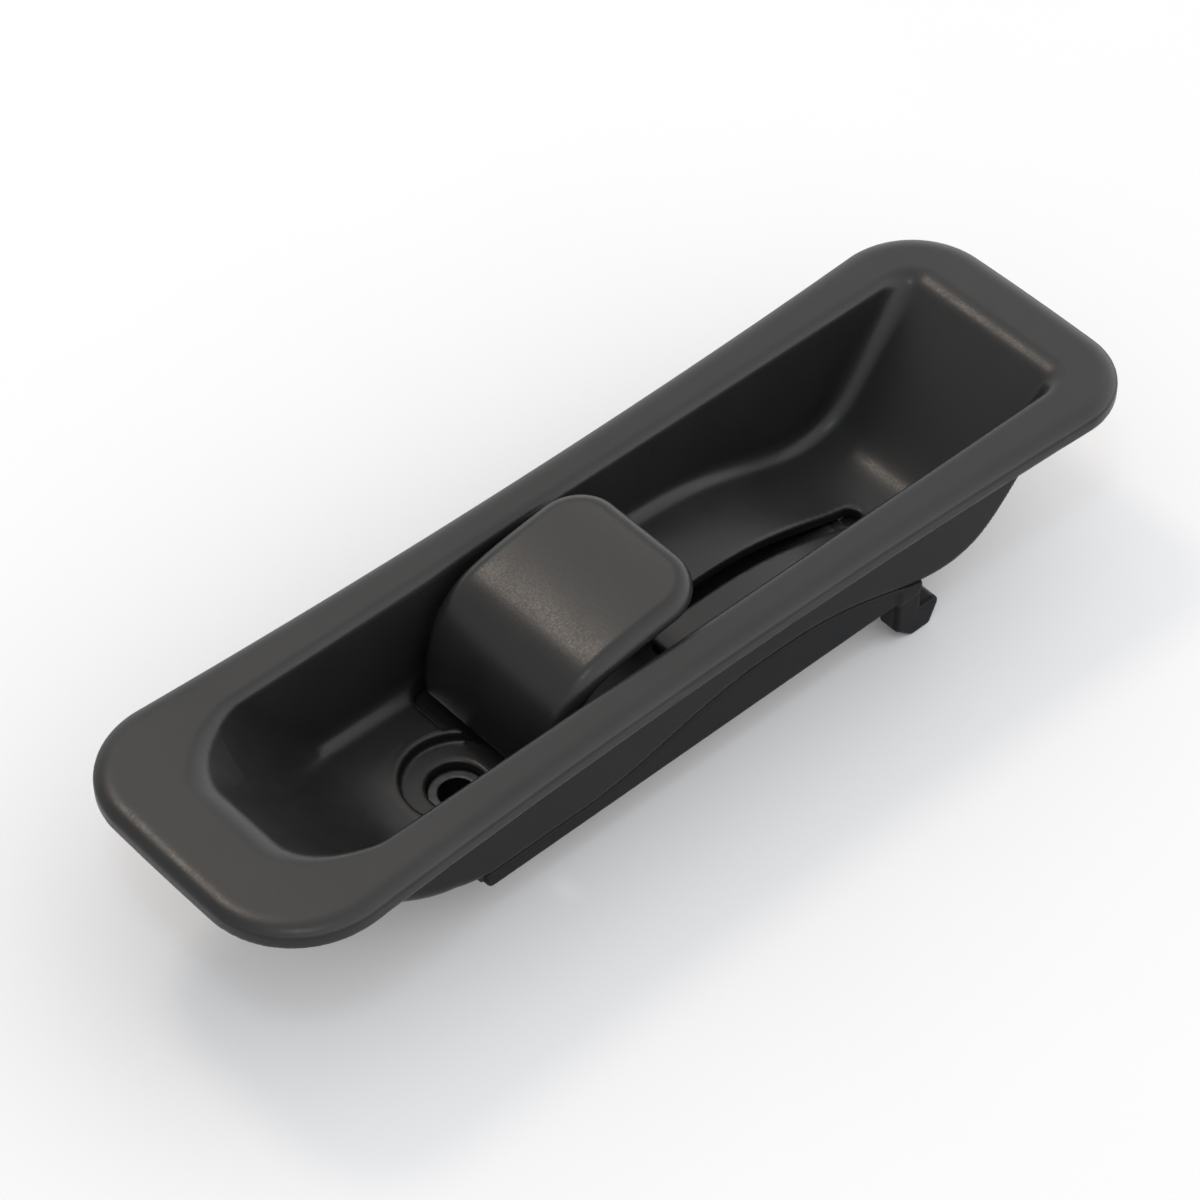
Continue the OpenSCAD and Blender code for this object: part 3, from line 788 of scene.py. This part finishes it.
def metal(name, colour, tint, rough, stretch):
    """Plated steel: drawn streaks, a faint tint in patches and fine pitting."""
    n = Nodes(name)
    patches = n.between(n.noise(2.2, 3), 0.35, 0.65, 0.0, 1.0)
    n.feed(n.shader.inputs["Base Color"], n.mix(patches, colour, tint))
    streaks = n.noise(0.25, 2, stretch)
    n.feed(n.shader.inputs["Roughness"], n.between(streaks, 0.3, 0.7, rough - 0.08, rough + 0.08))
    n.feed(n.shader.inputs["Normal"], n.bump(streaks, 0.004))
    n.shader.inputs["Metallic"].default_value = 1.0
    return n.material


def soft(name, colour, pale, rough, cell_mm, depth):
    """Rubber or foam: an open or closed cell texture with dusty high spots."""
    n = Nodes(name)
    cells = n.cells(cell_mm)
    dust = n.between(n.noise(3, 3), 0.4, 0.75, 0.0, 0.6)
    n.feed(n.shader.inputs["Base Color"], n.mix(dust, colour, pale))
    n.feed(n.shader.inputs["Roughness"], n.between(cells, 0, 0.7, rough, rough - 0.12))
    n.feed(n.shader.inputs["Normal"], n.bump(cells, depth))
    return n.material


MATERIALS = {
    "black_plastic": plastic("black_plastic", rgb(0.0074, 0.0073, 0.0072),
                             rgb(0.0128, 0.0125, 0.0122), 0.34, 0.4, 0.012),
    "frame_plastic": plastic("frame_plastic", rgb(0.006, 0.0061, 0.0065),
                             rgb(0.012, 0.012, 0.0127), 0.5, 0.45, 0.012),
    "white_plastic": plastic("white_plastic", rgb(0.68, 0.66, 0.6), rgb(0.76, 0.75, 0.7),
                             0.38, 0.3, 0.003),
    "steel": metal("steel", rgb(0.56, 0.57, 0.59), rgb(0.6, 0.58, 0.5), 0.34, (1, 1, 6)),
    "dark_steel": metal("dark_steel", rgb(0.055, 0.055, 0.057), rgb(0.04, 0.04, 0.04), 0.45,
                        (1, 1, 1)),
    "spring_steel": metal("spring_steel", rgb(0.36, 0.37, 0.39), rgb(0.3, 0.29, 0.28), 0.3,
                          (1, 1, 1)),
    "rubber": soft("rubber", rgb(0.02, 0.02, 0.02), rgb(0.045, 0.044, 0.042), 0.75, 0.35, 0.02),
    "foam": soft("foam", rgb(0.03, 0.03, 0.032), rgb(0.06, 0.06, 0.06), 0.95, 0.55, 0.12),
}

# ---------------------------------------------------------------- the object

FINE, SMALL = 0.3, 0.2
PIECES = [
    ("bezel_tub", bezel_tub, 0.55),
    ("trim_gasket", trim_gasket, 0.5),
    ("fixing_sleeve", fixing_sleeve, SMALL),
    ("side_frame", side_frame, 0.45),
    ("frame_screws", frame_screws, SMALL),
    ("rattle_pads", rattle_pads, 0.4),
    ("cable_anchor", cable_anchor, FINE),
    ("anchor_screw", anchor_screw, 0.15),
    ("closed_stop_pad", stop_pad("closed_stop_pad", 1), SMALL),
    ("open_stop_pad", stop_pad("open_stop_pad", 0), SMALL),
    ("pivot_pin", pivot_pin, SMALL),
    ("pin_clip", pin_clip, 0.12),
    ("paddle_cover", paddle_cover, 0.35),
    ("paddle_lever", paddle_lever, 0.35),
    ("cover_screws", cover_screws, 0.15),
    ("bush_near", lambda p: bush(p, -1), SMALL),
    ("bush_far", lambda p: bush(p, 1), SMALL),
    ("spring_sleeve", spring_sleeve, SMALL),
    ("cable_barrel", cable_barrel, SMALL),
]

for node, shape, cell in PIECES:
    moulded(node, shape, cell, MATERIALS[SLOT_OF[node]])
add_piece("return_spring", spring_wire(), MATERIALS[SLOT_OF["return_spring"]])


# ---------------------------------------------------------------- floor, light and camera

def add_floor():
    """A matt table under the object, wide enough to fill the view."""
    bpy.ops.mesh.primitive_plane_add(size=8, location=(0, 0, cad_box[0].z))
    floor = bpy.context.object
    floor.name = "floor"
    n = Nodes("floor")
    tone = n.mix(n.noise(60, 2), rgb(0.445, 0.445, 0.45), rgb(0.455, 0.455, 0.46))
    n.feed(n.shader.inputs["Base Color"], tone)
    n.shader.inputs["Roughness"].default_value = 0.9
    n.shader.inputs["Specular IOR Level"].default_value = 0.1
    floor.data.materials.append(n.material)


def add_world(toward, middle, slope):
    """A white room that grows brighter along a direction."""
    world = bpy.data.worlds.new("studio")
    bpy.context.scene.world = world
    world.use_nodes = True
    tree = world.node_tree
    along = tree.nodes.new("ShaderNodeVectorMath")
    along.operation = "DOT_PRODUCT"
    tree.links.new(tree.nodes.new("ShaderNodeTexCoord").outputs["Generated"], along.inputs[0])
    along.inputs[1].default_value = toward
    strength = tree.nodes.new("ShaderNodeMath")
    strength.operation = "MULTIPLY_ADD"
    tree.links.new(along.outputs["Value"], strength.inputs[0])
    strength.inputs[1].default_value = slope
    strength.inputs[2].default_value = middle
    background = tree.nodes["Background"]
    background.inputs["Color"].default_value = (1, 1, 1, 1)
    tree.links.new(strength.outputs[0], background.inputs["Strength"])


def add_softbox(name, direction, distance, size, power, colour):
    """A square soft light that faces the middle of the flange."""
    light = bpy.data.lights.new(name, "AREA")
    light.shape = "RECTANGLE"
    light.size, light.size_y = size
    light.energy = power
    light.color = colour
    holder = bpy.data.objects.new(name, light)
    bpy.context.scene.collection.objects.link(holder)
    toward = Vector(direction).normalized()
    holder.location = toward * distance + Vector((0, 0, FACE * MM))
    holder.rotation_mode = "QUATERNION"
    holder.rotation_quaternion = toward.to_track_quat("Z", "Y")


def add_camera(azimuth, elevation, distance, lens, shift):
    """A camera that looks at the middle of the flange from a distance in metres."""
    data = bpy.data.cameras.new("camera")
    camera = bpy.data.objects.new("camera", data)
    bpy.context.scene.collection.objects.link(camera)
    a, e = math.radians(azimuth), math.radians(elevation)
    back = Vector((math.sin(a) * math.cos(e), -math.cos(a) * math.cos(e), math.sin(e)))
    camera.location = back * distance + Vector((0, 0, FACE * MM))
    camera.rotation_mode = "QUATERNION"
    camera.rotation_quaternion = back.to_track_quat("Z", "Y")
    data.lens = lens
    data.sensor_width = 36
    data.shift_x, data.shift_y = shift
    data.clip_start, data.clip_end = 0.01, 20
    bpy.context.scene.camera = camera


add_floor()
add_world((0.5, -0.55, -0.6), 2.55, 1.6)
add_softbox("key", (-0.03, 0.51, 0.86), 0.9, (0.18, 0.18), 2.1, (1.0, 0.86, 0.74))
add_softbox("panel", (0.2, 0.51, 0.83), 0.9, (0.3, 0.24), 0.3, (1.0, 0.94, 0.9))
add_softbox("fill", (-0.32, -0.28, 0.89), 1.0, (0.14, 0.14), 1.5, (0.74, 0.86, 1.0))
add_camera(-42.31, 46.44, 0.6813, 125.9, (-0.0213, -0.0346))
bpy.context.scene.view_settings.view_transform = "Standard"
